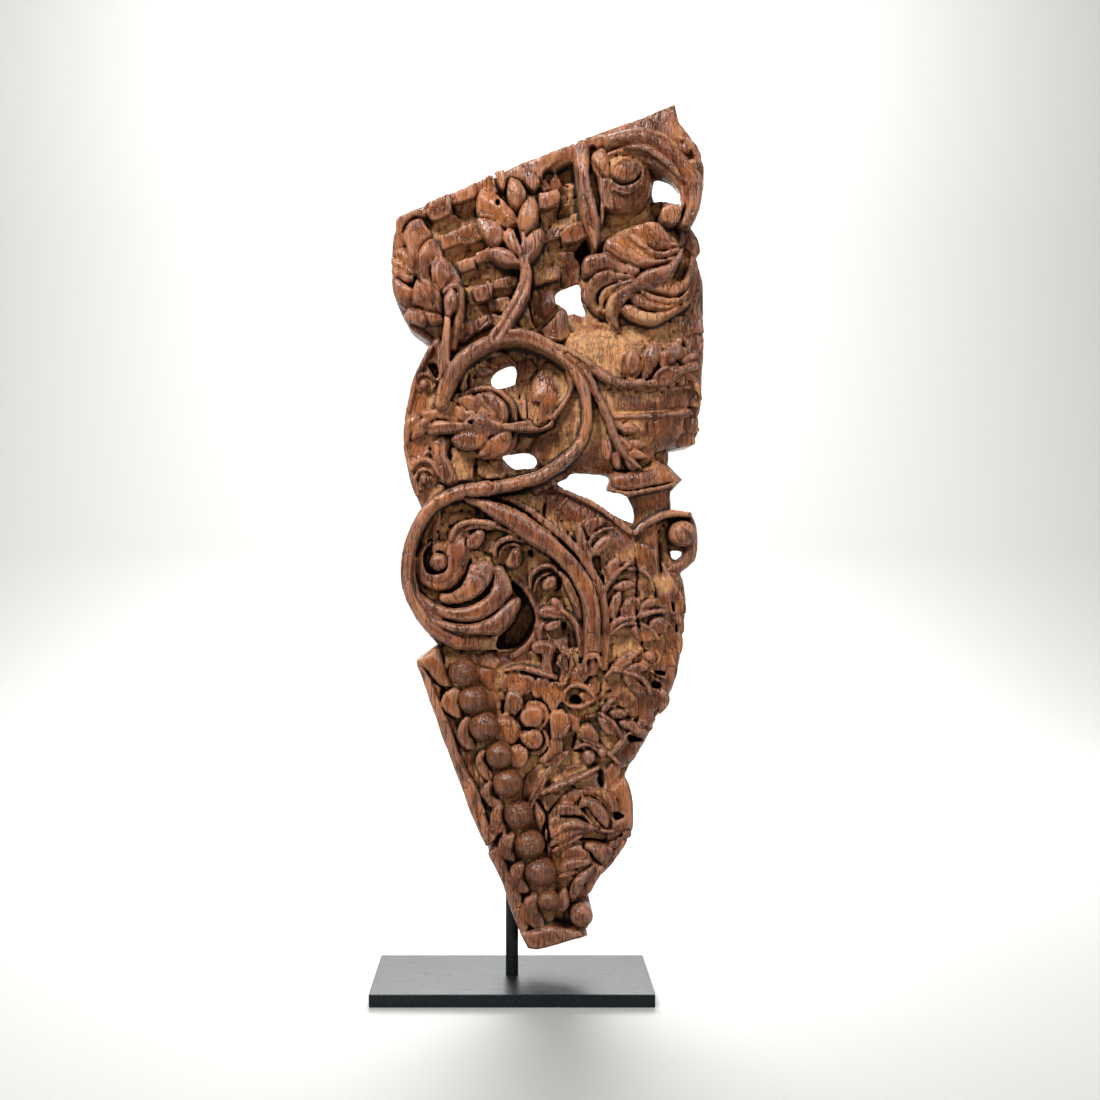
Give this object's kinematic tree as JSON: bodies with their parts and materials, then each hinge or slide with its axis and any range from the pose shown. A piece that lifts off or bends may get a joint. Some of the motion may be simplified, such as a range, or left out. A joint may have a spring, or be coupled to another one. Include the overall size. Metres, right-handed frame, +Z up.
{
  "type": "carved wooden bracket on stand",
  "caption": "Pierced carved hardwood bracket with scrolling vines, leaves, a beast's head and round bosses, held upright by a steel rod on a flat base plate.",
  "frame": {"origin": "on the underside of the base plate, straight below the rod's axis", "axes": "+Z up, -Y the carved front, +X to the right as seen from the front"},
  "size_m": [0.3179, 0.13, 0.8434],
  "materials": {
    "carved_wood": "old oiled hardwood, reddish brown with worn pale highlights and traces of grey-green paint in the recesses",
    "black_rod": "black satin steel",
    "black_plate": "black satin steel with light scuffs"
  },
  "bodies": {
    "root": {"carved_bracket": "carved_wood", "stand_rod": "black_rod", "base_plate": "black_plate"}
  },
  "joints": []
}
